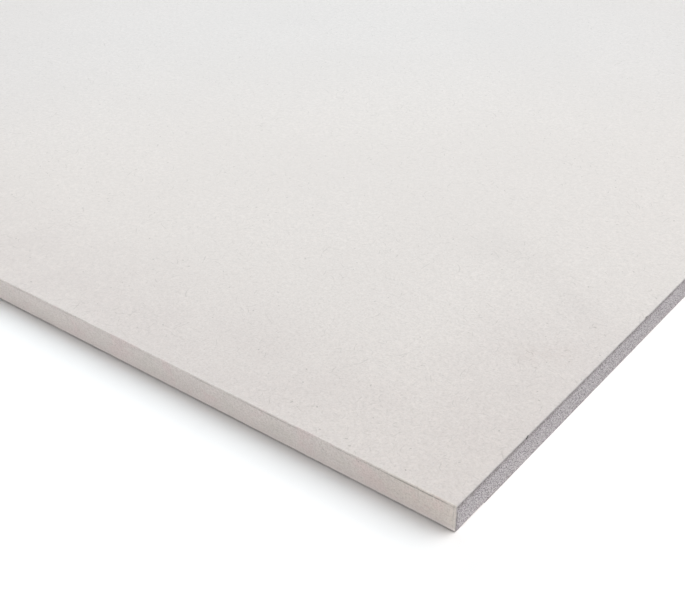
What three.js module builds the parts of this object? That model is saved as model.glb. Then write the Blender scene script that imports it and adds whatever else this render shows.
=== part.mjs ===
// A square-edge drywall sheet, lying face up: an aerated gypsum core between two papers.
//
// The face paper covers the top, folds down round both long edges and turns under the back as two
// glued flaps. The back paper lies flat under the core and laps the inner margin of each flap, so
// a strip of face paper stays bare along each long edge of the back. Both ends are cut square
// across, so the core shows there between the papers.
//
// Millimetres. X runs along the sheet, Y across it and Z up through its thickness. The origin is
// the centre of the back, which lies on the floor.

import * as THREE from "three";

// Sheet, over its papers
const SHEET_LENGTH = 2400;
const SHEET_WIDTH = 1200;
const SHEET_THICKNESS = 12.5;

// Papers
const FACE_PAPER_THICKNESS = 0.3;
const BACK_PAPER_THICKNESS = 0.3;

// Wrapped long edges
const CORE_CORNER_RADIUS = 0.2; // eased corner of the core, which the paper is folded round
const FLAP_WIDTH = 30; // from the long edge to the end of the turned-under flap
const BARE_STRIP_WIDTH = 20; // from the long edge to the edge of the back paper
const FOLD_SEGMENTS = 8; // facets in each quarter turn of a fold

// Levels through the thickness
const BACK_PAPER_TOP = BACK_PAPER_THICKNESS;
const FLAP_TOP = BACK_PAPER_TOP + FACE_PAPER_THICKNESS;
const CORE_TOP = SHEET_THICKNESS - FACE_PAPER_THICKNESS;

// Places across the width, from the centre line
const LONG_EDGE = SHEET_WIDTH / 2;
const CORE_EDGE = LONG_EDGE - FACE_PAPER_THICKNESS;
const FLAP_END = LONG_EDGE - FLAP_WIDTH;
const BACK_PAPER_EDGE = LONG_EDGE - BARE_STRIP_WIDTH;

// Centres of the folds, shared by the core's corners and both sides of the paper
const FOLD_Y = CORE_EDGE - CORE_CORNER_RADIUS;
const UPPER_FOLD_Z = CORE_TOP - CORE_CORNER_RADIUS;
const LOWER_FOLD_Z = FLAP_TOP + CORE_CORNER_RADIUS;

// Directions round a fold centre, for the arcs
const EAST = 0;
const NORTH = Math.PI / 2;
const WEST = Math.PI;
const SOUTH = 1.5 * Math.PI;

// Sections are drawn looking along the sheet: their x is the sheet's Y and their y is its Z.

// Draws over the top of the sheet from the lower right fold to the lower left one, at a radius
// from the fold centres. Each arc is joined to the one before it by a straight run.
function drawOverTop(path, radius) {
  path.absarc(FOLD_Y, LOWER_FOLD_Z, radius, SOUTH, EAST, false);
  path.absarc(FOLD_Y, UPPER_FOLD_Z, radius, EAST, NORTH, false);
  path.absarc(-FOLD_Y, UPPER_FOLD_Z, radius, NORTH, WEST, false);
  path.absarc(-FOLD_Y, LOWER_FOLD_Z, radius, WEST, SOUTH, false);
}

// Draws the same line the other way, from the lower left fold back to the lower right one.
function drawBackOverTop(path, radius) {
  path.absarc(-FOLD_Y, LOWER_FOLD_Z, radius, SOUTH, WEST, true);
  path.absarc(-FOLD_Y, UPPER_FOLD_Z, radius, WEST, NORTH, true);
  path.absarc(FOLD_Y, UPPER_FOLD_Z, radius, NORTH, EAST, true);
  path.absarc(FOLD_Y, LOWER_FOLD_Z, radius, EAST, SOUTH, true);
}

// Gypsum core: eased long corners, and a shallow rebate along each side of the back that the
// face paper's flap lies in.
function coreSection() {
  const section = new THREE.Shape();
  section.moveTo(-FLAP_END, BACK_PAPER_TOP);
  section.lineTo(FLAP_END, BACK_PAPER_TOP);
  section.lineTo(FLAP_END, FLAP_TOP);
  drawOverTop(section, CORE_CORNER_RADIUS);
  section.lineTo(-FLAP_END, FLAP_TOP);
  section.closePath();
  return section;
}

// Face paper: one ply wrapped over the core, from the end of one flap to the end of the other.
function facePaperSection() {
  const section = new THREE.Shape();
  section.moveTo(FLAP_END, BACK_PAPER_TOP);
  drawOverTop(section, CORE_CORNER_RADIUS + FACE_PAPER_THICKNESS);
  section.lineTo(-FLAP_END, BACK_PAPER_TOP);
  section.lineTo(-FLAP_END, FLAP_TOP);
  drawBackOverTop(section, CORE_CORNER_RADIUS);
  section.lineTo(FLAP_END, FLAP_TOP);
  section.closePath();
  return section;
}

// Back paper: a flat ply, set in from both long edges.
function backPaperSection() {
  const section = new THREE.Shape();
  section.moveTo(-BACK_PAPER_EDGE, 0);
  section.lineTo(BACK_PAPER_EDGE, 0);
  section.lineTo(BACK_PAPER_EDGE, BACK_PAPER_TOP);
  section.lineTo(-BACK_PAPER_EDGE, BACK_PAPER_TOP);
  section.closePath();
  return section;
}

// Runs a section the full length of the sheet, from one cut end to the other.
function runAlongSheet(section) {
  const geometry = new THREE.ExtrudeGeometry(section, {
    depth: SHEET_LENGTH,
    bevelEnabled: false,
    curveSegments: FOLD_SEGMENTS,
  });
  geometry.translate(0, 0, -SHEET_LENGTH / 2);
  const sheetAxes = new THREE.Matrix4().makeBasis(
    new THREE.Vector3(0, 1, 0),
    new THREE.Vector3(0, 0, 1),
    new THREE.Vector3(1, 0, 0),
  );
  return geometry.applyMatrix4(sheetAxes);
}

const gypsum = new THREE.MeshStandardMaterial({ color: 0xafabad, roughness: 0.95, metalness: 0 });
const ivoryPaper = new THREE.MeshStandardMaterial({ color: 0xe0dbd6, roughness: 0.75, metalness: 0 });
const greyPaper = new THREE.MeshStandardMaterial({ color: 0xa89d90, roughness: 0.85, metalness: 0 });

const gypsumCore = new THREE.Mesh(runAlongSheet(coreSection()), gypsum);
gypsumCore.name = "gypsum_core";

const facePaper = new THREE.Mesh(runAlongSheet(facePaperSection()), ivoryPaper);
facePaper.name = "face_paper";

const backPaper = new THREE.Mesh(runAlongSheet(backPaperSection()), greyPaper);
backPaper.name = "back_paper";

const drywallSheet = new THREE.Group();
drywallSheet.name = "drywall_sheet";
drywallSheet.add(gypsumCore, facePaper, backPaper);

export default drywallSheet;
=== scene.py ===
import math

import bpy
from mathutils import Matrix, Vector


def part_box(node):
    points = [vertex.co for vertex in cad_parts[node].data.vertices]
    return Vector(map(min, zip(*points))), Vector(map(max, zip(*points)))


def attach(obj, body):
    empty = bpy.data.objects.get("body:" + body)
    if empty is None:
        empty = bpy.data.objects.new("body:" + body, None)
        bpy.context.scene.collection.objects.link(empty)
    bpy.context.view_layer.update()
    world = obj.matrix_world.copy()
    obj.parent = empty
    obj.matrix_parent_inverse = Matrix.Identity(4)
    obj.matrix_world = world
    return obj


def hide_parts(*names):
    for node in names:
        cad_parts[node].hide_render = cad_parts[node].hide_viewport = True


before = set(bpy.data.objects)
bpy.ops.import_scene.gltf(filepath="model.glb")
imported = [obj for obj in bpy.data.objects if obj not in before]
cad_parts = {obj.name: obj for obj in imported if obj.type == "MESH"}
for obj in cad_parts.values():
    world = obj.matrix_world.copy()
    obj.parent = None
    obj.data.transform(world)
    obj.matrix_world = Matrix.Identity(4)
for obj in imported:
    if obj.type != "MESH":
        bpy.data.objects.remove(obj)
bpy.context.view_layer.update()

bpy.ops.object.select_all(action="DESELECT")


# ---------------------------------------------------------------------------------------------
# Gypsum core
# One slab of foamed gypsum plaster, cast between the two papers and set hard on them.
# Only its two cut ends show: scored, snapped and rubbed down, they are gritty, full of burst
# air bubbles, and crumbled back in a ragged groove just under the face paper.
# ---------------------------------------------------------------------------------------------

core_low, core_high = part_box("gypsum_core")
core_size = core_high - core_low
core_middle = (core_low + core_high) / 2
back_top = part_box("face_paper")[0].z
paper_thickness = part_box("face_paper")[1].z - core_high.z
core_corner_radius = 0.0002
fold_y = core_high.y - core_corner_radius
upper_fold_z = core_high.z - core_corner_radius
lower_fold_z = back_top + paper_thickness + core_corner_radius
flap_width = 0.030
flap_end = core_high.y + paper_thickness - flap_width

grain_cell = 0.0006
groove_depth = 0.0006
groove_height = 0.0021
snap_depth = 0.00006
grit_depth = 0.00008
pore_depth = 0.00026
fine_pore_depth = 0.00014
chip_y = core_low.y + 0.1585
chip_reach = 0.0018
chip_depth = 0.0009
chip_side = core_high.x - 0.004
nick_from_edge = 0.0500
nick_place = (core_high.x, core_low.y + nick_from_edge, core_high.z - 0.0003)
nick_reach = 0.0011
nick_heart = 0.75 * nick_reach
nick_stretch = (0.5, 1, 1)
nick_shade = (0.03, 0.027, 0.025)


def add_cloud_texture(name, size, depth=2):
    """A soft procedural cloud for the Displace modifier, with features about size metres across."""
    texture = bpy.data.textures.new(name, "CLOUDS")
    texture.noise_scale = size
    texture.noise_depth = depth
    return texture


def add_pit_texture(name, size, rim):
    """Round pits for the Displace modifier: one to a cell of size metres, rim of the way across."""
    texture = bpy.data.textures.new(name, "VORONOI")
    texture.noise_scale = size
    texture.use_color_ramp = True
    ramp = texture.color_ramp
    ramp.elements[0].position = 0.0
    ramp.elements[0].color = (1, 1, 1, 1)
    ramp.elements[1].position = rim
    ramp.elements[1].color = (0, 0, 0, 1)
    return texture


def displace_inward(piece, texture, depth, group, end, middle=0.0):
    """Presses one end of a piece in along the sheet, by depth where the texture is white."""
    modifier = piece.modifiers.new("press_in", "DISPLACE")
    modifier.texture = texture
    modifier.direction = "X"
    modifier.mid_level = middle
    modifier.strength = -end * depth
    modifier.vertex_group = group
    bpy.ops.object.modifier_apply(modifier=modifier.name)


bpy.ops.mesh.primitive_grid_add(
    x_subdivisions=round(core_size.z / grain_cell),
    y_subdivisions=round(core_size.y / grain_cell),
    size=1,
    location=(core_low.x, core_middle.y, core_middle.z),
    rotation=(0, -math.pi / 2, 0),
)
core = bpy.context.object
core.name = "foamed_gypsum_core"
core.scale = (core_size.z, core_size.y, 1)
bpy.ops.object.transform_apply(location=True, rotation=True, scale=True)

# Ease the corners that the paper is folded round, and lift the margins that the flaps lie under.
for vertex in core.data.vertices:
    side = math.copysign(1, vertex.co.y)
    if vertex.co.z < back_top + grain_cell / 4 and abs(vertex.co.y) > flap_end:
        vertex.co.z = back_top + paper_thickness
    fold_z = max(lower_fold_z, min(upper_fold_z, vertex.co.z))
    reach = Vector((0, abs(vertex.co.y) - fold_y, vertex.co.z - fold_z))
    if reach.y > 0 and reach.z != 0 and reach.length > core_corner_radius:
        reach = reach.normalized() * core_corner_radius
        vertex.co.y = side * (fold_y + reach.y)
        vertex.co.z = fold_z + reach.z

bpy.ops.object.mode_set(mode="EDIT")
bpy.ops.mesh.select_all(action="SELECT")
bpy.ops.mesh.extrude_region_move(TRANSFORM_OT_translate={"value": (core_size.x, 0, 0)})
bpy.ops.mesh.select_all(action="SELECT")
bpy.ops.mesh.normals_make_consistent(inside=False)
bpy.ops.object.mode_set(mode="OBJECT")

pit_texture = add_pit_texture("burst bubbles", 0.0021, 0.34)
fine_pit_texture = add_pit_texture("fine burst bubbles", 0.0012, 0.30)
grit_texture = add_cloud_texture("gypsum grit", 0.0011, 3)
snap_texture = add_cloud_texture("snapped face", 0.011, 2)
crumble_texture = add_cloud_texture("crumbled groove", 0.0026, 2)

for end in (-1, 1):
    cut_end = core.vertex_groups.new(name=f"cut_end_{end}").name
    groove = core.vertex_groups.new(name=f"groove_{end}").name
    for vertex in core.data.vertices:
        if abs(vertex.co.x - end * core_high.x) > grain_cell / 2:
            continue
        core.vertex_groups[cut_end].add([vertex.index], 1.0, "REPLACE")
        below_paper = (core_high.z - vertex.co.z) / groove_height
        if below_paper < 1:
            core.vertex_groups[groove].add([vertex.index], 1 - below_paper, "REPLACE")
    displace_inward(core, snap_texture, snap_depth, cut_end, end)
    displace_inward(core, grit_texture, grit_depth, cut_end, end)
    displace_inward(core, pit_texture, pore_depth, cut_end, end)
    displace_inward(core, fine_pit_texture, fine_pore_depth, cut_end, end)
    displace_inward(core, crumble_texture, groove_depth, groove, end, -0.35)

# One larger chip, knocked out of the right-hand end just under the face paper.
for vertex in core.data.vertices:
    from_chip = Vector((0, vertex.co.y - chip_y, vertex.co.z - core_high.z)).length / chip_reach
    if vertex.co.x > chip_side and from_chip < 1:
        vertex.co.x -= chip_depth * (1 - from_chip)


def do_math(tree, operation, first, second=None, clamp=False):
    """One Math node; its inputs are sockets or numbers."""
    node = tree.nodes.new("ShaderNodeMath")
    node.operation = operation
    node.use_clamp = clamp
    for index, value in enumerate((first, second)):
        if isinstance(value, bpy.types.NodeSocket):
            tree.links.new(value, node.inputs[index])
        elif value is not None:
            node.inputs[index].default_value = value
    return node.outputs[0]


def do_range(tree, value, low, high, low_out=0.0, high_out=1.0):
    """Runs smoothly from low_out to high_out as the value goes from low to high."""
    node = tree.nodes.new("ShaderNodeMapRange")
    node.interpolation_type = "SMOOTHSTEP"
    tree.links.new(value, node.inputs["Value"])
    node.inputs["From Min"].default_value = low
    node.inputs["From Max"].default_value = high
    node.inputs["To Min"].default_value = low_out
    node.inputs["To Max"].default_value = high_out
    return node.outputs["Result"]


def mix_colours(tree, share, first, second, blend="MIX"):
    """Mixes two colours; each is a socket or an RGB value."""
    node = tree.nodes.new("ShaderNodeMix")
    node.data_type = "RGBA"
    node.blend_type = blend
    sockets = (node.inputs[0], node.inputs[6], node.inputs[7])
    for socket, value in zip(sockets, (share, first, second)):
        if isinstance(value, bpy.types.NodeSocket):
            tree.links.new(value, socket)
        elif isinstance(value, tuple):
            socket.default_value = (*value, 1)
        else:
            socket.default_value = value
    return node.outputs[2]


def do_vector(tree, operation, first, second=None, third=None):
    """One Vector Math node; its inputs are sockets or vectors. It returns the node's outputs."""
    node = tree.nodes.new("ShaderNodeVectorMath")
    node.operation = operation
    for index, value in enumerate((first, second, third)):
        if isinstance(value, bpy.types.NodeSocket):
            tree.links.new(value, node.inputs[index])
        elif value is not None:
            node.inputs[index].default_value = value
    return node.outputs


def split_place(tree, place):
    """The X, Y and Z of a place, as the outputs of one node."""
    node = tree.nodes.new("ShaderNodeSeparateXYZ")
    tree.links.new(place, node.inputs["Vector"])
    return node.outputs


def split_chances(tree, colour):
    """Three even chances from 0 to 1, out of a cell's random colour."""
    node = tree.nodes.new("ShaderNodeSeparateColor")
    tree.links.new(colour, node.inputs["Color"])
    return node.outputs


def add_noise(tree, vector, scale, detail=3.0, roughness=0.6):
    """Even noise of about 0 to 1, with scale features to the metre."""
    node = tree.nodes.new("ShaderNodeTexNoise")
    tree.links.new(vector, node.inputs["Vector"])
    node.inputs["Scale"].default_value = scale
    node.inputs["Detail"].default_value = detail
    node.inputs["Roughness"].default_value = roughness
    return node.outputs["Fac"]


def new_material(name, roughness, specular):
    """A material with its own Principled shader: returns the material, its tree and the shader."""
    material = bpy.data.materials.new(name)
    material.use_nodes = True
    tree = material.node_tree
    tree.nodes.clear()
    shader = tree.nodes.new("ShaderNodeBsdfPrincipled")
    output = tree.nodes.new("ShaderNodeOutputMaterial")
    tree.links.new(shader.outputs["BSDF"], output.inputs["Surface"])
    shader.inputs["Roughness"].default_value = roughness
    shader.inputs["Specular IOR Level"].default_value = specular
    return material, tree, shader


def add_bump(tree, shader, height, distance):
    """Raises the surface by distance metres where the height is 1."""
    bump = tree.nodes.new("ShaderNodeBump")
    bump.inputs["Strength"].default_value = 1.0
    bump.inputs["Distance"].default_value = distance
    tree.links.new(height, bump.inputs["Height"])
    tree.links.new(bump.outputs["Normal"], shader.inputs["Normal"])


def darken_nick(tree, place, tone):
    """Painted shade in one small nick of the right-hand end, on the arris of core and paper."""
    from_nick = do_vector(tree, "SUBTRACT", place, nick_place)["Vector"]
    from_nick = do_vector(tree, "MULTIPLY", from_nick, nick_stretch)["Vector"]
    reach = do_vector(tree, "LENGTH", from_nick)["Value"]
    nick = do_range(tree, reach, nick_reach, nick_heart)
    return mix_colours(tree, nick, tone, nick_shade)


plaster_low = (0.418, 0.394, 0.402)
plaster_high = (0.459, 0.437, 0.443)
clump_grey = (0.365, 0.337, 0.347)
lilac_grey = (0.457, 0.415, 0.470)
light_grit = (0.66, 0.625, 0.63)
dark_grit = (0.17, 0.156, 0.162)
crystal_white = (0.63, 0.600, 0.605)
pore_shade = (0.135, 0.124, 0.130)
bubble_shade = (0.185, 0.174, 0.182)
groove_shade = (0.204, 0.184, 0.185)
hollow_shade = (0.10, 0.09, 0.095)
margin_shade = (0.95, 0.945, 0.945)
grit_relief = 0.00007
pores_to_metre = 1450
pore_warp = (0.0003, 0.0003, 0)
bubbles_to_metre = 840

gypsum, tree, shader = new_material("foamed gypsum", 0.95, 0.2)
place = tree.nodes.new("ShaderNodeTexCoord").outputs["Object"]
grit = add_noise(tree, place, 2300, 2, 0.6)
clumps = add_noise(tree, place, 420, 3, 0.6)
patches = add_noise(tree, place, 30, 2, 0.5)
tone = mix_colours(tree, patches, plaster_low, plaster_high)
tone = mix_colours(tree, do_range(tree, clumps, 0.40, 0.66, 0.0, 0.26), tone, clump_grey)
lilac = add_noise(tree, place, 1300, 2, 0.5)
tone = mix_colours(tree, do_range(tree, lilac, 0.46, 0.62, 0.0, 0.65), tone, lilac_grey)
tone = mix_colours(tree, do_range(tree, grit, 0.52, 0.60, 0.0, 0.14), tone, light_grit)
tone = mix_colours(tree, do_range(tree, grit, 0.48, 0.38, 0.0, 0.20), tone, dark_grit)

# Small dark pores in the paler plaster, of many sizes, packed evenly all over the two cut faces.
in_sheet = split_place(tree, place)
on_cut = tree.nodes.new("ShaderNodeCombineXYZ")
tree.links.new(in_sheet["Y"], on_cut.inputs["X"])
tree.links.new(in_sheet["Z"], on_cut.inputs["Y"])
warp = tree.nodes.new("ShaderNodeTexNoise")
tree.links.new(place, warp.inputs["Vector"])
warp.inputs["Scale"].default_value = 1500
warp.inputs["Detail"].default_value = 1
warped = do_vector(tree, "MULTIPLY_ADD", warp.outputs["Color"], pore_warp, on_cut.outputs["Vector"])
pores = tree.nodes.new("ShaderNodeTexVoronoi")
pores.voronoi_dimensions = "2D"
pores.inputs["Scale"].default_value = pores_to_metre
pores.inputs["Randomness"].default_value = 0.85
tree.links.new(warped["Vector"], pores.inputs["Vector"])
smaller = do_math(tree, "MULTIPLY", split_chances(tree, pores.outputs["Color"])["Red"], 0.2)
from_pore = do_math(tree, "ADD", pores.outputs["Distance"], smaller)
pore_share = do_range(tree, from_pore, 0.46, 0.26, 0.0, 0.9)
crystal_share = do_range(tree, from_pore, 0.46, 0.66, 0.0, 0.6)
tone = mix_colours(tree, crystal_share, tone, crystal_white)
# The dark of each pore is painted shade in its hole.
tone = mix_colours(tree, pore_share, tone, pore_shade)

# Larger burst bubbles, rare in the dense margins and common in the more open middle.
bubbles = tree.nodes.new("ShaderNodeTexVoronoi")
bubbles.inputs["Scale"].default_value = bubbles_to_metre
tree.links.new(place, bubbles.inputs["Vector"])
bubble_mouth = do_range(tree, bubbles.outputs["Distance"], 0.34, 0.22, 0.0, 0.90)
bubble_chance = split_chances(tree, bubbles.outputs["Color"])["Red"]
across_sheet = do_math(tree, "ABSOLUTE", in_sheet["Y"])
unburst_share = do_range(tree, across_sheet, core_high.y - 0.04, core_high.y - 0.12, 0.95, 0.67)
burst = do_math(tree, "GREATER_THAN", bubble_chance, unburst_share)
bubble_mouth = do_math(tree, "MULTIPLY", bubble_mouth, burst)
# The dark of each burst bubble's mouth is painted shade in its hollow.
tone = mix_colours(tree, bubble_mouth, tone, bubble_shade)

# Under the face paper the gypsum is looser and crumbled back in a groove, darkened with painted
# shade.
# The painted shade also runs along a strip by each long edge, and it is patchy.
in_groove = do_range(
    tree,
    in_sheet["Z"],
    core_high.z - 1.45 * groove_height,
    core_high.z - 0.40 * groove_height,
)
by_long_edge = do_range(tree, across_sheet, core_high.y - 0.0007, core_high.y - 0.0002)
in_groove = do_math(tree, "MAXIMUM", in_groove, by_long_edge)
groove_shade_patches = do_range(tree, add_noise(tree, place, 420, 3, 0.65), 0.36, 0.60, 0.60, 1.0)
groove_shade_share = do_math(tree, "MULTIPLY", do_math(tree, "MULTIPLY", in_groove, groove_shade_patches), 0.73)
by_corner = do_range(tree, in_sheet["Y"], core_low.y + 0.10, core_low.y + 0.18, 1.0, 0.90)
groove_shade_share = do_math(tree, "MULTIPLY", groove_shade_share, by_corner)
tone = mix_colours(tree, groove_shade_share, tone, groove_shade)
# Darker painted shade fills small hollows just under the paper.
under_paper = do_range(tree, in_sheet["Z"], core_high.z - 0.0011, core_high.z - 0.0003)
shaded_hollows = do_range(tree, add_noise(tree, place, 300, 3, 0.6), 0.53, 0.61, 0.0, 0.75)
shaded_hollows = do_math(tree, "MULTIPLY", under_paper, shaded_hollows)
tone = mix_colours(tree, shaded_hollows, tone, hollow_shade)
tone = darken_nick(tree, place, tone)
denser_margin = do_range(tree, across_sheet, core_high.y - 0.009, core_high.y - 0.002)
tone = mix_colours(tree, denser_margin, tone, margin_shade, "MULTIPLY")
tree.links.new(tone, shader.inputs["Base Color"])
height = do_math(tree, "SUBTRACT", grit, bubble_mouth)
add_bump(tree, shader, height, grit_relief)

core.data.materials.append(gypsum)
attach(core, "root")
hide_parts("gypsum_core")


# ---------------------------------------------------------------------------------------------
# Face paper
# One ply of ivory paper, laid from many thin layers of waste-paper pulp, so it is full of short
# dark hairs. It covers the top, is creased and folded down round both long edges, and is glued
# under the core's margins as two flaps. Its cut ends are a little frayed.
# ---------------------------------------------------------------------------------------------

face_low, face_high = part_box("face_paper")
fold_radius = core_corner_radius + paper_thickness
long_edge = face_high.y
straight_side = upper_fold_z - lower_fold_z
row_spacing = 0.004
fold_steps = 6
support_strip = 0.0004
end_strip = 0.0012
side_panels = 4
top_panels = 20
top_fray_cuts = 74
side_fray_cuts = 2
flap_fray_cuts = 35
fray_depth = 0.00006
torn_depth = 0.0006
tolerance = 1e-6
end_line = face_high.x - tolerance
top_line = face_high.z - tolerance
top_side = fold_y - tolerance
smooth_angle = math.radians(35)


def run_out(distance_y, distance_z):
    """Extrudes the selected edges by a distance across the sheet and up."""
    bpy.ops.mesh.extrude_edges_move(TRANSFORM_OT_translate={"value": (0, distance_y, distance_z)})


def fold_over(centre_y, centre_z):
    """Folds the selected edges on by a quarter turn, round a line that runs along the sheet."""
    bpy.ops.mesh.spin(
        steps=fold_steps,
        angle=-math.pi / 2,
        center=(0, centre_y, centre_z),
        axis=(1, 0, 0),
    )


def select_edges(piece, wanted):
    """Selects the edges whose two ends both pass the test, and leaves the piece in edit mode."""
    bpy.ops.object.mode_set(mode="EDIT")
    bpy.ops.mesh.select_mode(type="EDGE")
    bpy.ops.mesh.select_all(action="DESELECT")
    bpy.ops.object.mode_set(mode="OBJECT")
    vertices = piece.data.vertices
    for edge in piece.data.edges:
        edge.select = all(wanted(vertices[index].co) for index in edge.vertices)
    bpy.ops.object.mode_set(mode="EDIT")


def mark_off_ends(piece):
    """Cuts a narrow strip of its own along both ends of a paper, and leaves it in edit mode."""
    bpy.ops.object.mode_set(mode="EDIT")
    for end in (-1, 1):
        bpy.ops.mesh.select_all(action="SELECT")
        bpy.ops.mesh.bisect(plane_co=(end * (face_high.x - end_strip), 0, 0), plane_no=(1, 0, 0))


def fray_ends(piece, frays):
    """Presses both cut ends of a paper in by ragged amounts: by each texture, to its own depth."""
    for end in (-1, 1):
        frayed = piece.vertex_groups.new(name=f"frayed_{end}").name
        ends = [vertex.index for vertex in piece.data.vertices if vertex.co.x * end > end_line]
        piece.vertex_groups[frayed].add(ends, 1.0, "REPLACE")
        for texture, depth in frays:
            displace_inward(piece, texture, depth, frayed, end)


def thicken_ply(piece, thickness):
    """Gives a paper its thickness, inwards, with a second material along its cut edges."""
    thicken = piece.modifiers.new("ply", "SOLIDIFY")
    thicken.thickness = thickness
    thicken.offset = -1
    thicken.use_even_offset = True
    thicken.material_offset_rim = 1
    piece.data.materials.append(None)
    piece.data.materials.append(None)
    bpy.ops.object.modifier_apply(modifier=thicken.name)


flap_run = fold_y - flap_end
bpy.ops.mesh.primitive_grid_add(
    x_subdivisions=round((face_high.x - face_low.x) / row_spacing),
    y_subdivisions=1,
    size=1,
    location=(0, flap_end + flap_run / 2, face_low.z),
)
face = bpy.context.object
face.name = "wrapped_face_paper"
face.scale = (face_high.x - face_low.x, flap_run, 1)
bpy.ops.object.transform_apply(location=True, rotation=True, scale=True)

# Fold the strip on, from the end of one flap over the top to the end of the other.
select_edges(face, lambda co: abs(co.y - fold_y) < tolerance)
fold_over(fold_y, lower_fold_z)
for _ in range(side_panels):
    run_out(0, straight_side / side_panels)
fold_over(fold_y, upper_fold_z)
run_out(-support_strip, 0)
for _ in range(top_panels):
    run_out(-2 * (fold_y - support_strip) / top_panels, 0)
run_out(-support_strip, 0)
fold_over(-fold_y, upper_fold_z)
for _ in range(side_panels):
    run_out(0, -straight_side / side_panels)
fold_over(-fold_y, lower_fold_z)
run_out(flap_run, 0)
mark_off_ends(face)
bpy.ops.mesh.select_all(action="SELECT")
bpy.ops.mesh.normals_make_consistent(inside=False)

# Fray the two cut ends: many short steps along each, pressed in by a ragged amount.
select_edges(face, lambda co: abs(co.x) > end_line and co.z > top_line and abs(co.y) < top_side)
bpy.ops.mesh.subdivide(number_cuts=top_fray_cuts)
select_edges(face, lambda co: abs(co.x) > end_line and abs(co.y) > long_edge - tolerance)
bpy.ops.mesh.subdivide(number_cuts=side_fray_cuts)
select_edges(face, lambda co: abs(co.x) > end_line and co.z < face_low.z + tolerance)
bpy.ops.mesh.subdivide(number_cuts=flap_fray_cuts)
bpy.ops.object.mode_set(mode="OBJECT")

fine_fray_texture = add_cloud_texture("fine fray", 0.0012, 2)
torn_texture = add_cloud_texture("torn edge", 0.0042, 2)
long_fray_texture = add_cloud_texture("long fray", 0.020, 2)
fray_ends(face, (
    (fine_fray_texture, fray_depth),
    (torn_texture, 3 * fray_depth),
    (long_fray_texture, fray_depth),
))

# The small tear over the chip in the right-hand end.
for vertex in face.data.vertices:
    from_chip = abs(vertex.co.y - chip_y) / chip_reach
    if vertex.co.x > face_high.x - end_strip / 2 and vertex.co.z > top_line and from_chip < 1:
        vertex.co.x -= torn_depth * (1 - from_chip)

thicken_ply(face, paper_thickness)


def distance_from_centre(co):
    """How far a point lies from the sheet's centre line, measured along the unfolded paper."""
    across = abs(co.y)
    turn = fold_radius * math.pi / 2
    if across <= fold_y:
        if co.z > upper_fold_z:
            return across
        return fold_y + 2 * turn + straight_side + (fold_y - across)
    if co.z > upper_fold_z:
        return fold_y + fold_radius * math.atan2(across - fold_y, co.z - upper_fold_z)
    if co.z >= lower_fold_z:
        return fold_y + turn + (upper_fold_z - co.z)
    lower_angle = math.atan2(lower_fold_z - co.z, across - fold_y)
    return fold_y + turn + straight_side + fold_radius * lower_angle


unfolded = face.data.uv_layers.active
unfolded.name = "unfolded"
for loop in face.data.loops:
    co = face.data.vertices[loop.vertex_index].co
    unfolded.data[loop.index].uv = (co.x, math.copysign(distance_from_centre(co), co.y))
face.select_set(True)
bpy.context.view_layer.objects.active = face
bpy.ops.object.shade_smooth_by_angle(angle=smooth_angle)


def make_fibre_group():
    """Hair-like marks in the plane of a sheet: one short curved hair in each cell of a scatter."""
    group = bpy.data.node_groups.new("pulp fibres", "ShaderNodeTree")
    group.interface.new_socket("Vector", in_out="INPUT", socket_type="NodeSocketVector")
    for name in ("Cells", "Length", "Width", "Curl", "Share"):
        group.interface.new_socket(name, in_out="INPUT", socket_type="NodeSocketFloat")
    group.interface.new_socket("Mark", in_out="OUTPUT", socket_type="NodeSocketFloat")
    given = group.nodes.new("NodeGroupInput").outputs
    result = group.nodes.new("NodeGroupOutput").inputs["Mark"]

    scaled = group.nodes.new("ShaderNodeVectorMath")
    scaled.operation = "SCALE"
    group.links.new(given["Vector"], scaled.inputs[0])
    group.links.new(given["Cells"], scaled.inputs["Scale"])
    place = scaled.outputs["Vector"]
    cell = group.nodes.new("ShaderNodeTexVoronoi")
    cell.voronoi_dimensions = "2D"
    cell.inputs["Scale"].default_value = 1
    group.links.new(place, cell.inputs["Vector"])
    chance = group.nodes.new("ShaderNodeTexWhiteNoise")
    chance.noise_dimensions = "2D"
    group.links.new(cell.outputs["Position"], chance.inputs["Vector"])
    chances = split_chances(group, cell.outputs["Color"])
    turn = group.nodes.new("ShaderNodeVectorRotate")
    turn.rotation_type = "Z_AXIS"
    from_middle = do_vector(group, "SUBTRACT", place, cell.outputs["Position"])["Vector"]
    group.links.new(from_middle, turn.inputs["Vector"])
    angle = do_math(group, "MULTIPLY", chances["Red"], 2 * math.pi)
    group.links.new(angle, turn.inputs["Angle"])
    on_hair = split_place(group, turn.outputs["Vector"])

    curl = do_math(group, "SUBTRACT", chances["Green"], 0.5)
    curl = do_math(group, "MULTIPLY", curl, given["Curl"])
    along = do_math(group, "ABSOLUTE", on_hair["X"])
    bow = do_math(group, "MULTIPLY", curl, do_math(group, "POWER", along, 2))
    across = do_math(group, "ABSOLUTE", do_math(group, "ADD", on_hair["Y"], bow))
    reach = do_math(group, "ADD", chances["Blue"], 0.35)
    reach = do_math(group, "MULTIPLY", given["Length"], reach)
    thin = do_math(group, "DIVIDE", across, given["Width"])
    thin = do_math(group, "SUBTRACT", 1, thin, clamp=True)
    short = do_math(group, "SUBTRACT", 1, do_math(group, "DIVIDE", along, reach), clamp=True)
    short = do_math(group, "MULTIPLY", short, 4, clamp=True)
    chosen = do_math(group, "LESS_THAN", chance.outputs["Value"], given["Share"])
    mark = do_math(group, "MULTIPLY", do_math(group, "MULTIPLY", thin, short), chosen)
    group.links.new(mark, result)
    return group


fibre_group = make_fibre_group()


def add_fibres(tree, place, cells, length, width, curl, share):
    """Hairs of that length and width in metres, one to a cell, in a share of the cells."""
    node = tree.nodes.new("ShaderNodeGroup")
    node.node_tree = fibre_group
    tree.links.new(place, node.inputs["Vector"])
    node.inputs["Cells"].default_value = cells
    node.inputs["Length"].default_value = length * cells / 2
    node.inputs["Width"].default_value = width * cells
    node.inputs["Curl"].default_value = curl
    node.inputs["Share"].default_value = share
    return node.outputs["Mark"]


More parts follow.
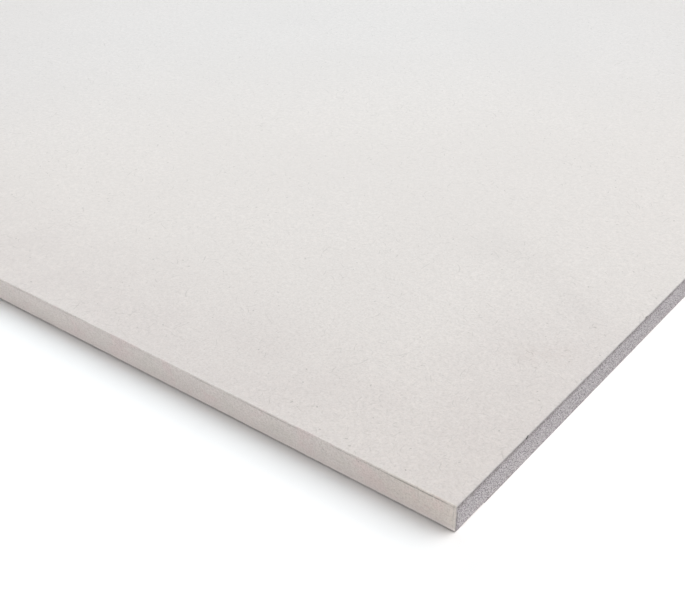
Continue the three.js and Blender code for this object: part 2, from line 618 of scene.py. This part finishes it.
def shift_place(tree, place, offset):
    """The same coordinates, moved aside, so that another scatter doesn't repeat the first."""
    return do_vector(tree, "ADD", place, (offset, offset * 0.7, 0))["Vector"]


def strengthen(tree, mark, strength):
    """A mark made fainter or stronger."""
    return do_math(tree, "MULTIPLY", mark, strength)


pulp_relief = 0.00004


def lay_paper(tree, shader, place, pale, deep, dark_hair, light_hair, hair_strength):
    """Colours and bumps a sheet of recycled paper: cloudy pulp, hairs and specks."""
    cloud = add_noise(tree, place, 420, 4, 0.7)
    mottle = add_noise(tree, place, 130, 3, 0.55)
    grain = add_noise(tree, place, 1300, 3, 0.7)
    patches = add_noise(tree, place, 9, 3, 0.5)
    tone = mix_colours(tree, do_range(tree, cloud, 0.36, 0.64), pale, deep)
    tone = mix_colours(tree, do_range(tree, mottle, 0.38, 0.62, 0.0, 0.40), tone, deep)
    tone = mix_colours(tree, do_range(tree, patches, 0.40, 0.62, 0.0, 0.35), tone, deep)
    tone = mix_colours(tree, do_range(tree, grain, 0.50, 0.68, 0.0, 0.10), tone, light_hair)
    tone = mix_colours(tree, do_range(tree, grain, 0.49, 0.31, 0.0, 0.10), tone, dark_hair)
    pale_hairs = add_fibres(tree, shift_place(tree, place, 3.1), 520, 0.0016, 0.00012, 1.2, 0.75)
    fine_hairs = add_fibres(tree, place, 560, 0.0013, 0.00010, 1.4, 0.7)
    long_hairs = add_fibres(tree, shift_place(tree, place, 5.3), 170, 0.0046, 0.00026, 2.2, 0.55)
    rare_hairs = add_fibres(tree, shift_place(tree, place, 7.7), 62, 0.0080, 0.00034, 2.6, 0.30)
    specks = add_fibres(tree, shift_place(tree, place, 9.1), 130, 0.0011, 0.00042, 0.0, 0.13)
    hairy_patches = add_noise(tree, shift_place(tree, place, 27.1), 34, 3, 0.6)
    hairy_patches = do_range(tree, hairy_patches, 0.38, 0.62, 0.35, 1.65)
    long_hairs = do_math(tree, "MULTIPLY", long_hairs, hairy_patches)
    rare_hairs = do_math(tree, "MULTIPLY", rare_hairs, hairy_patches)
    tone = mix_colours(tree, strengthen(tree, pale_hairs, 0.55 * hair_strength), tone, light_hair)
    tone = mix_colours(tree, strengthen(tree, fine_hairs, 0.17 * hair_strength), tone, dark_hair)
    tone = mix_colours(tree, strengthen(tree, long_hairs, 0.19 * hair_strength), tone, dark_hair)
    tone = mix_colours(tree, strengthen(tree, rare_hairs, 0.18 * hair_strength), tone, dark_hair)
    tone = mix_colours(tree, strengthen(tree, specks, 0.55 * hair_strength), tone, dark_hair)
    height = do_math(tree, "ADD", strengthen(tree, grain, 0.6), strengthen(tree, cloud, 0.6))
    height = do_math(tree, "ADD", height, strengthen(tree, pale_hairs, 0.4))
    height = do_math(tree, "ADD", height, strengthen(tree, long_hairs, 0.4))
    add_bump(tree, shader, height, pulp_relief)
    gloss = do_range(tree, cloud, 0.3, 0.7, 0.56, 0.68)
    tree.links.new(gloss, shader.inputs["Roughness"])
    return tone


ivory_paper, tree, shader = new_material("ivory face paper", 0.6, 0.5)
place = tree.nodes.new("ShaderNodeTexCoord").outputs["UV"]
light_hair = (0.86, 0.84, 0.82)
dark_hair = (0.26, 0.23, 0.20)
grime_and_shade = (0.30, 0.27, 0.25)
grey_dust = (0.40, 0.38, 0.385)
tone = lay_paper(
    tree,
    shader,
    place,
    pale=(0.777, 0.712, 0.672),
    deep=(0.713, 0.654, 0.617),
    dark_hair=dark_hair,
    light_hair=light_hair,
    hair_strength=1.0,
)

# The two score lines along the top of each long edge: the rounded arris has a painted highlight in
# places near the cut ends, and the crease just below it holds a thin broken line of painted shade.
unfolded_place = split_place(tree, place)
from_centre = do_math(tree, "ABSOLUTE", unfolded_place["Y"])
from_middle = do_math(tree, "ABSOLUTE", unfolded_place["X"])
from_end = do_math(tree, "SUBTRACT", face_high.x, from_middle)
fold_end = fold_y + fold_radius * math.pi / 2


def mark_line(tree, distance, middle, half_width):
    """1 on a line at that distance from the centre line, fading to 0 at its two sides."""
    away = do_math(tree, "ABSOLUTE", do_math(tree, "SUBTRACT", distance, middle))
    return do_range(tree, away, half_width, 0.0)


arris_highlight = mark_line(tree, from_centre, (fold_y + fold_end) / 2, 0.0009)
arris_highlight_patches = do_range(tree, add_noise(tree, place, 190, 3, 0.6), 0.40, 0.64, 0.45, 0.98)
arris_highlight = do_math(tree, "MULTIPLY", arris_highlight, arris_highlight_patches)
arris_highlight = do_math(tree, "MULTIPLY", arris_highlight, do_range(tree, from_end, 0.30, 0.10, 0.0, 1.0))
highlight_paper = (0.875, 0.815, 0.780)
# Painted highlight on the upper arris.
tone = mix_colours(tree, arris_highlight, tone, highlight_paper)
crease_shade = mark_line(tree, from_centre, fold_end + 0.0003, 0.0005)
crease_place = shift_place(tree, place, 19.75)
crease_shade_breaks = do_range(tree, add_noise(tree, crease_place, 24, 5, 0.7), 0.46, 0.60, 0.06, 0.95)
crease_shade = do_math(tree, "MULTIPLY", crease_shade, crease_shade_breaks)
crease_shade = do_math(tree, "MULTIPLY", crease_shade, do_range(tree, from_end, 0.055, 0.020, 0.55, 0.92))
tone = mix_colours(tree, crease_shade, tone, grime_and_shade)

# Raised fibres near the corners. Painted shade darkens the top towards its corners and margins,
# and well away from the corners a painted cooler tint stands in for cooler light.
from_side = do_math(tree, "SUBTRACT", fold_y, from_centre)
from_end_squared = do_math(tree, "POWER", from_end, 2)
from_side_squared = do_math(tree, "POWER", from_side, 2)
from_corner = do_math(tree, "SQRT", do_math(tree, "ADD", from_end_squared, from_side_squared))
corner_shade = do_range(tree, from_corner, 0.16, 0.0, 0.0, 1.0)
raised = do_range(tree, from_corner, 0.34, 0.12)
fuzz = add_noise(tree, shift_place(tree, place, 13.7), 880, 3, 0.65)
raised_hairs = add_fibres(tree, shift_place(tree, place, 11.3), 420, 0.0018, 0.00014, 1.6, 0.65)
dark_fuzz = do_math(tree, "MULTIPLY", raised, do_range(tree, fuzz, 0.49, 0.34, 0.0, 0.12))
pale_fuzz = do_math(tree, "MULTIPLY", raised, do_range(tree, fuzz, 0.51, 0.66, 0.0, 0.16))
tone = mix_colours(tree, dark_fuzz, tone, dark_hair)
tone = mix_colours(tree, pale_fuzz, tone, light_hair)
raised_hairs = do_math(tree, "MULTIPLY", raised, strengthen(tree, raised_hairs, 0.17))
tone = mix_colours(tree, raised_hairs, tone, dark_hair)
tone = mix_colours(tree, corner_shade, tone, (0.985, 0.980, 0.975), "MULTIPLY")
painted_cool_light = do_range(tree, from_corner, 0.32, 0.58)
tone = mix_colours(tree, painted_cool_light, tone, (0.970, 0.984, 1.0), "MULTIPLY")
top_edge_shade = do_range(tree, from_side, 0.085, 0.015)
end_edge_shade = do_range(tree, from_end, 0.085, 0.015)
end_edge_shade = do_math(tree, "MULTIPLY", end_edge_shade, do_range(tree, from_side, 0.20, 0.10))
top_edge_shade = do_math(tree, "MAXIMUM", top_edge_shade, end_edge_shade)
edge_shade_patches = do_range(tree, add_noise(tree, place, 28, 4, 0.6), 0.36, 0.60, 0.55, 1.0)
top_edge_shade = do_math(tree, "MULTIPLY", top_edge_shade, edge_shade_patches)
on_top = do_range(tree, from_side, -0.0002, 0.0004)
top_edge_shade = do_math(tree, "MULTIPLY", top_edge_shade, on_top)
# Painted shade along the margins of the top.
tone = mix_colours(tree, top_edge_shade, tone, (0.940, 0.930, 0.935), "MULTIPLY")

# The folded side is rougher than the top, with faint warmer and greyer patches.
on_side = do_math(tree, "SUBTRACT", 1, on_top)
side_grain = add_noise(tree, shift_place(tree, place, 17.3), 1350, 2, 0.6)
dark_grain = do_math(tree, "MULTIPLY", on_side, do_range(tree, side_grain, 0.49, 0.36, 0.0, 0.19))
pale_grain = do_math(tree, "MULTIPLY", on_side, do_range(tree, side_grain, 0.51, 0.64, 0.0, 0.26))
tone = mix_colours(tree, dark_grain, tone, dark_hair)
tone = mix_colours(tree, pale_grain, tone, light_hair)
side_patches = add_noise(tree, shift_place(tree, place, 21.9), 48, 4, 0.6)
pink_patches = do_math(tree, "MULTIPLY", on_side, do_range(tree, side_patches, 0.50, 0.60))
grey_patches = do_math(tree, "MULTIPLY", on_side, do_range(tree, side_patches, 0.48, 0.38))
tone = mix_colours(tree, pink_patches, tone, (1.004, 0.958, 0.970), "MULTIPLY")
tone = mix_colours(tree, grey_patches, tone, (0.972, 0.984, 0.974), "MULTIPLY")
warm_end = do_math(tree, "MULTIPLY", on_side, do_range(tree, from_end, 0.060, 0.010))
tone = mix_colours(tree, warm_end, tone, (1.000, 0.988, 0.960), "MULTIPLY")
end_score = do_math(tree, "MULTIPLY", on_side, mark_line(tree, from_end, 0.0014, 0.0005))
score_breaks = do_range(tree, add_noise(tree, place, 520, 2, 0.5), 0.42, 0.58, 0.25, 1.0)
end_score = do_math(tree, "MULTIPLY", end_score, score_breaks)
tone = mix_colours(tree, strengthen(tree, end_score, 0.34), tone, grime_and_shade)


def add_smear(tree, place, from_cut, from_fold, turn, length, width):
    """1 along a soft straight smear, fading to 0 all round it. Its middle is measured from the
    right-hand cut and from the front fold, on the unfolded paper."""
    middle = (face_high.x - from_cut, from_fold - fold_y, 0)
    turned = tree.nodes.new("ShaderNodeVectorRotate")
    turned.rotation_type = "Z_AXIS"
    turned.inputs["Angle"].default_value = -math.radians(turn)
    from_smear = do_vector(tree, "SUBTRACT", place, middle)["Vector"]
    tree.links.new(from_smear, turned.inputs["Vector"])
    on_smear = split_place(tree, turned.outputs["Vector"])
    along = do_range(tree, do_math(tree, "ABSOLUTE", on_smear["X"]), length / 2, length / 5)
    across = do_range(tree, do_math(tree, "ABSOLUTE", on_smear["Y"]), width / 2, 0.0)
    return do_math(tree, "MULTIPLY", along, across)


# The marks that this sheet has near its right-hand end: a long faint grey smear, a brown smudge
# beside the cut, and a few separate specks of dirt.
brown_dirt = (0.24, 0.19, 0.16)
smear_patches = do_range(tree, add_noise(tree, place, 70, 3, 0.6), 0.36, 0.58, 0.45, 1.0)
smear = add_smear(tree, place, 0.0780, 0.1725, -12, 0.070, 0.048)
smear_tail = add_smear(tree, place, 0.0400, 0.1525, -28, 0.080, 0.030)
smear = do_math(tree, "MULTIPLY", do_math(tree, "MAXIMUM", smear, smear_tail), smear_patches)
tone = mix_colours(tree, smear, tone, (0.970, 0.969, 0.970), "MULTIPLY")
smudge = add_smear(tree, place, 0.0230, 0.1030, 38, 0.040, 0.028)
smudge_patches = do_range(tree, add_noise(tree, place, 240, 4, 0.7), 0.40, 0.60, 0.15, 1.0)
smudge = do_math(tree, "MULTIPLY", smudge, smudge_patches)
tone = mix_colours(tree, smudge, tone, (0.975, 0.962, 0.955), "MULTIPLY")
smudge_hairs = add_fibres(tree, shift_place(tree, place, 31.3), 260, 0.0030, 0.00020, 2.0, 0.75)
smudge_hairs = do_math(tree, "MULTIPLY", smudge, strengthen(tree, smudge_hairs, 0.45))
tone = mix_colours(tree, smudge_hairs, tone, brown_dirt)
for from_cut, from_fold, turn, length, width, strength in (
    (0.0146, 0.1358, 20, 0.0018, 0.0010, 0.42),
    (0.0082, 0.1326, -40, 0.0022, 0.0009, 0.32),
    (0.0203, 0.0922, 10, 0.0016, 0.0012, 0.36),
    (0.0162, 0.1115, 60, 0.0040, 0.0010, 0.24),
    (0.0071, 0.1215, 75, 0.0030, 0.0009, 0.28),
):
    speck = add_smear(tree, place, from_cut, from_fold, turn, length, width)
    tone = mix_colours(tree, strengthen(tree, speck, strength), tone, brown_dirt)

# The lower arris has a painted highlight, and the fold under it painted shade where it meets the
# floor. The cut edge is dusty with gypsum, and has painted shade in its one nick.
contact_shade_colour = (0.15, 0.14, 0.135)
lower_fold = fold_end + straight_side
lower_highlight = mark_line(tree, from_centre, lower_fold - 0.0002, 0.0016)
lower_highlight_band = mark_line(tree, from_centre, lower_fold, 0.0055)
lower_highlight = strengthen(tree, lower_highlight, 0.85)
lower_highlight_band = strengthen(tree, lower_highlight_band, 0.38)
lower_highlight = do_math(tree, "MAXIMUM", lower_highlight, lower_highlight_band)
tone = mix_colours(tree, lower_highlight, tone, highlight_paper)
contact_shade = mark_line(tree, from_centre, lower_fold + 0.00045, 0.00045)
contact_shade = do_math(tree, "MULTIPLY", contact_shade, do_range(tree, from_end, 0.30, 0.06, 1.0, 0.60))
tone = mix_colours(tree, contact_shade, tone, contact_shade_colour)
edge_dust = do_range(tree, from_end, 0.0008, 0.0, 0.0, 1.0)
dust_patches = do_range(tree, add_noise(tree, place, 600, 3, 0.6), 0.38, 0.62, 0.35, 0.85)
tone = mix_colours(tree, do_math(tree, "MULTIPLY", edge_dust, dust_patches), tone, grey_dust)
nick = add_smear(tree, place, 0, nick_from_edge - core_corner_radius, 0, 0.0012, 0.0014)
tone = mix_colours(tree, nick, tone, nick_shade)
tree.links.new(tone, shader.inputs["Base Color"])
face.data.materials[0] = ivory_paper


def lay_cut_edge(tree, shader, place, deep, pale, corner_tone, corner_share):
    """Colours and bumps a paper's cut edge: raw torn pulp, darker towards the corners."""
    pulp = add_noise(tree, place, 2600, 3, 0.7)
    tone = mix_colours(tree, do_range(tree, pulp, 0.35, 0.65), deep, pale)
    across = do_math(tree, "ABSOLUTE", split_place(tree, place)["Y"])
    by_corner = do_range(tree, across, fold_y - 0.16, fold_y - 0.03, 0.0, corner_share)
    add_bump(tree, shader, pulp, torn_relief)
    return mix_colours(tree, by_corner, tone, corner_tone)


torn_relief = 0.0001
cut_paper, tree, shader = new_material("cut edge of face paper", 0.85, 0.3)
place = tree.nodes.new("ShaderNodeTexCoord").outputs["Object"]
tone = lay_cut_edge(
    tree,
    shader,
    place,
    deep=(0.54, 0.502, 0.49),
    pale=(0.68, 0.632, 0.617),
    corner_tone=(0.33, 0.300, 0.303),
    corner_share=0.75,
)
tone = darken_nick(tree, place, tone)
tree.links.new(tone, shader.inputs["Base Color"])
face.data.materials[1] = cut_paper

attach(face, "root")
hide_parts("face_paper")


# ---------------------------------------------------------------------------------------------
# Back paper
# A flat ply of grey-brown waste-paper pulp, coarser than the face. It is glued to the back of
# the core and laps the face paper's two flaps, 20 mm short of each long edge.
# ---------------------------------------------------------------------------------------------

back_low, back_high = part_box("back_paper")
rows = 120
columns = 20
bpy.ops.mesh.primitive_grid_add(
    x_subdivisions=rows,
    y_subdivisions=columns,
    size=1,
    location=(0, 0, back_high.z),
)
back = bpy.context.object
back.name = "lapped_back_paper"
back.scale = (back_high.x - back_low.x, back_high.y - back_low.y, 1)
bpy.ops.object.transform_apply(location=True, rotation=True, scale=True)
mark_off_ends(back)
select_edges(back, lambda co: abs(co.x) > end_line)
bpy.ops.mesh.subdivide(number_cuts=top_fray_cuts)
bpy.ops.object.mode_set(mode="OBJECT")
fray_ends(back, ((fine_fray_texture, fray_depth), (torn_texture, fray_depth)))
thicken_ply(back, back_high.z - back_low.z)
bpy.ops.object.shade_smooth_by_angle(angle=smooth_angle)

grey_paper, tree, shader = new_material("grey back paper", 0.85, 0.4)
place = tree.nodes.new("ShaderNodeTexCoord").outputs["Object"]
tone = lay_paper(
    tree,
    shader,
    place,
    pale=(0.40, 0.355, 0.30),
    deep=(0.35, 0.305, 0.255),
    dark_hair=(0.10, 0.09, 0.08),
    light_hair=(0.56, 0.52, 0.46),
    hair_strength=1.3,
)
tree.links.new(tone, shader.inputs["Base Color"])
back.data.materials[0] = grey_paper

cut_back_paper, tree, shader = new_material("cut edge of back paper", 0.85, 0.3)
place = tree.nodes.new("ShaderNodeTexCoord").outputs["Object"]
tone = lay_cut_edge(
    tree,
    shader,
    place,
    deep=(0.35, 0.340, 0.345),
    pale=(0.44, 0.425, 0.43),
    corner_tone=(0.20, 0.20, 0.215),
    corner_share=0.90,
)
tree.links.new(tone, shader.inputs["Base Color"])
back.data.materials[1] = cut_back_paper

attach(back, "root")
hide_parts("back_paper")


# ---------------------------------------------------------------------------------------------
# Floor
# A plain white floor that the sheet lies on. It keeps the inner part of the sheet's soft shadow;
# from
# 14 mm out its glow rises and paints light over the rest, and a little way out it is seen as plain
# white.
# ---------------------------------------------------------------------------------------------

floor_half = 40
floor_glow = 0.064
open_floor_glow = 0.40
shadow_reach = 0.014
shadow_end = 2.5 * shadow_reach
floor_gap = 0.00002
bpy.ops.mesh.primitive_plane_add(size=2 * floor_half, location=(0, 0, -floor_gap))
floor = bpy.context.object
floor.name = "floor"


def seen_directly(tree):
    """1 for what the camera sees, straight or in a reflection or through glass, and otherwise 0."""
    path = tree.nodes.new("ShaderNodeLightPath").outputs
    seen = do_math(tree, "MAXIMUM", path["Is Camera Ray"], path["Is Glossy Ray"])
    return do_math(tree, "MAXIMUM", seen, path["Is Transmission Ray"])


white_floor, tree, shader = new_material("white floor", 1.0, 0.0)
shader.inputs["Base Color"].default_value = (0.95, 0.939, 0.932, 1)
shader.inputs["Emission Color"].default_value = (1, 1, 1, 1)
place = tree.nodes.new("ShaderNodeTexCoord").outputs["Object"]
on_floor = split_place(tree, place)
along_floor = do_math(tree, "ABSOLUTE", on_floor["X"])
across_floor = do_math(tree, "ABSOLUTE", on_floor["Y"])
past_end = do_math(tree, "SUBTRACT", along_floor, face_high.x)
past_side = do_math(tree, "SUBTRACT", across_floor, face_high.y)
past_sheet = do_math(tree, "MAXIMUM", past_end, past_side)
glow = do_range(tree, past_sheet, shadow_reach, shadow_end, floor_glow, open_floor_glow)
glow = do_math(tree, "MULTIPLY", seen_directly(tree), glow)
tree.links.new(glow, shader.inputs["Emission Strength"])
floor.data.materials.append(white_floor)


# ---------------------------------------------------------------------------------------------
# Light
# A nearly dark room with plain soft lamps: a very broad key from behind on the right, a low fill
# in front of the long edge and a weak cool overhead lamp over each half of the sheet.
# ---------------------------------------------------------------------------------------------

world = bpy.data.worlds.new("white studio")
bpy.context.scene.world = world
world.use_nodes = True
tree = world.node_tree
background = tree.nodes["Background"]
background.inputs["Color"].default_value = (1, 1, 1, 1)
room_light = 0.02
strength = do_range(tree, seen_directly(tree), 0.0, 1.0, room_light, 1.0)
tree.links.new(strength, background.inputs["Strength"])


def add_far_lamp(name, azimuth, elevation, spread, energy, colour):
    """A distant soft lamp; its azimuth runs from straight behind the sheet round to the right."""
    bpy.ops.object.light_add(
        type="SUN",
        rotation=(math.pi / 2 - math.radians(elevation), 0, math.pi - math.radians(azimuth)),
    )
    lamp = bpy.context.object
    lamp.name = name
    lamp.data.energy = energy
    lamp.data.angle = math.radians(spread)
    lamp.data.color = colour


add_far_lamp("key", 45, 48, 66, 3.46, (1.0, 0.990, 0.985))
add_far_lamp("fill", 182, 11, 22, 0.975, (1.0, 0.985, 1.0))

overhead_x = 0.80
overhead_y = -0.15
overhead_height = 0.70
overhead_size = 0.8
cool_white = (0.57, 0.85, 1.0)
for half, side, energy in (("right", 1, 1.82), ("left", -1, 1.35)):
    overhead_place = (side * overhead_x, overhead_y, overhead_height)
    bpy.ops.object.light_add(type="AREA", location=overhead_place)
    overhead = bpy.context.object
    overhead.name = f"overhead_{half}"
    overhead.data.shape = "DISK"
    overhead.data.size = overhead_size
    overhead.data.energy = energy
    overhead.data.color = cool_white
    overhead.visible_camera = False


# ---------------------------------------------------------------------------------------------
# Camera
# It looks down on the near corner, along the long edge to the left and the cut end to the right.
# ---------------------------------------------------------------------------------------------

view_azimuth = math.radians(37.845)
view_elevation = math.radians(31.92)
sensor_width = 36.0
picture_width = 685
focal_pixels = 1071
focal_length = sensor_width * focal_pixels / picture_width
corner_right = 0.04065
corner_down = 0.0708
corner_ahead = 0.3790

right = Vector((math.cos(view_azimuth), math.sin(view_azimuth), 0))
back_way = Vector((
    math.sin(view_azimuth) * math.cos(view_elevation),
    -math.cos(view_azimuth) * math.cos(view_elevation),
    math.sin(view_elevation),
))
near_corner = Vector((face_high.x, face_low.y, face_high.z))
up = back_way.cross(right)
stand = near_corner - corner_right * right + corner_down * up + corner_ahead * back_way
bpy.ops.object.camera_add(
    location=stand,
    rotation=(math.pi / 2 - view_elevation, 0, view_azimuth),
)
camera = bpy.context.object
camera.data.lens = focal_length
camera.data.sensor_width = sensor_width
camera.data.clip_start = 0.01
camera.data.clip_end = 200
bpy.context.scene.camera = camera
bpy.context.scene.view_settings.view_transform = "Standard"
